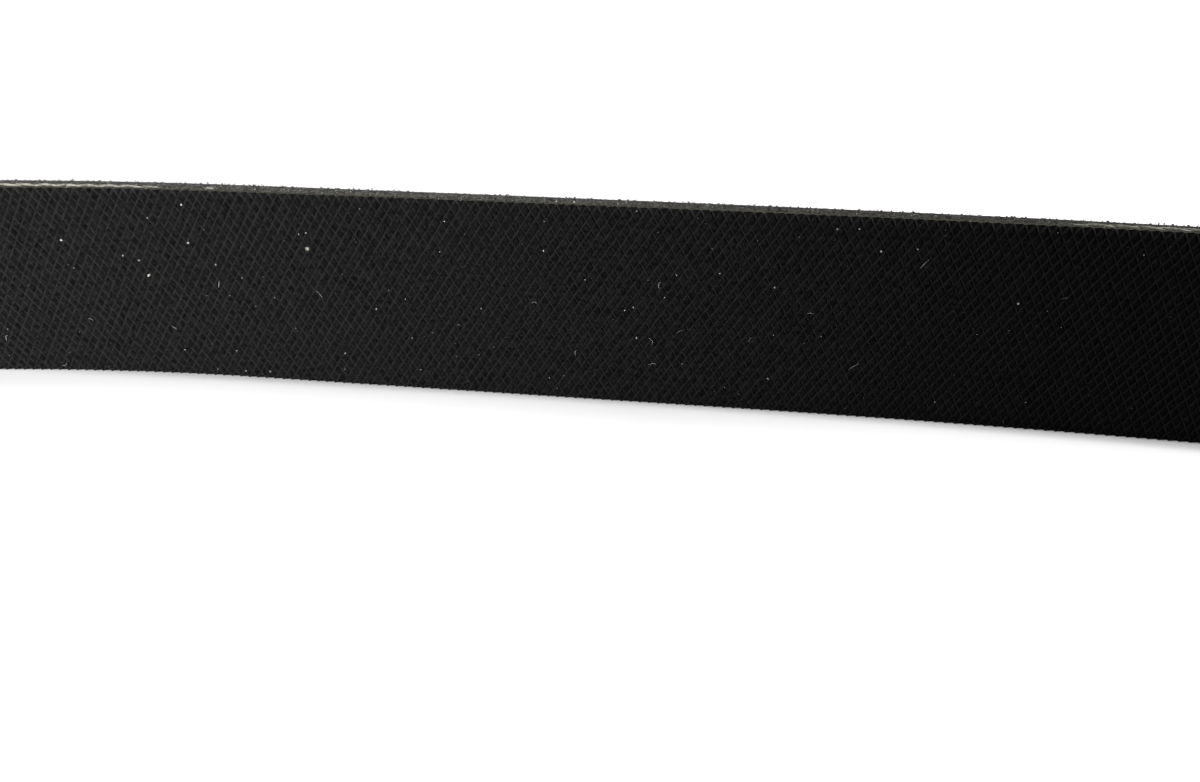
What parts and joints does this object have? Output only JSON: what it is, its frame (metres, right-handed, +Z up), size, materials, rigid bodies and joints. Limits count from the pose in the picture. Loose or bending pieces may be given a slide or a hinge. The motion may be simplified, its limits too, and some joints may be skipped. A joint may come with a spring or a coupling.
{
  "type": "serpentine belt",
  "caption": "Endless ribbed rubber drive belt lying as an oval loop on its cut edge, ribs inside, flat textured back outside.",
  "frame": {"origin": "middle of the loop's box, on the surface that the lower cut edge stands on", "axes": "+X along the loop's length, +Y from the dented front stretch to the straight back run, +Z up across the belt's width"},
  "size_m": [0.7356, 0.4022, 0.0215],
  "materials": {
    "belt_rubber": "matte black, diamond-textured back, fibre-filled ribs"
  },
  "bodies": {
    "root": {"belt": "belt_rubber"}
  },
  "joints": []
}
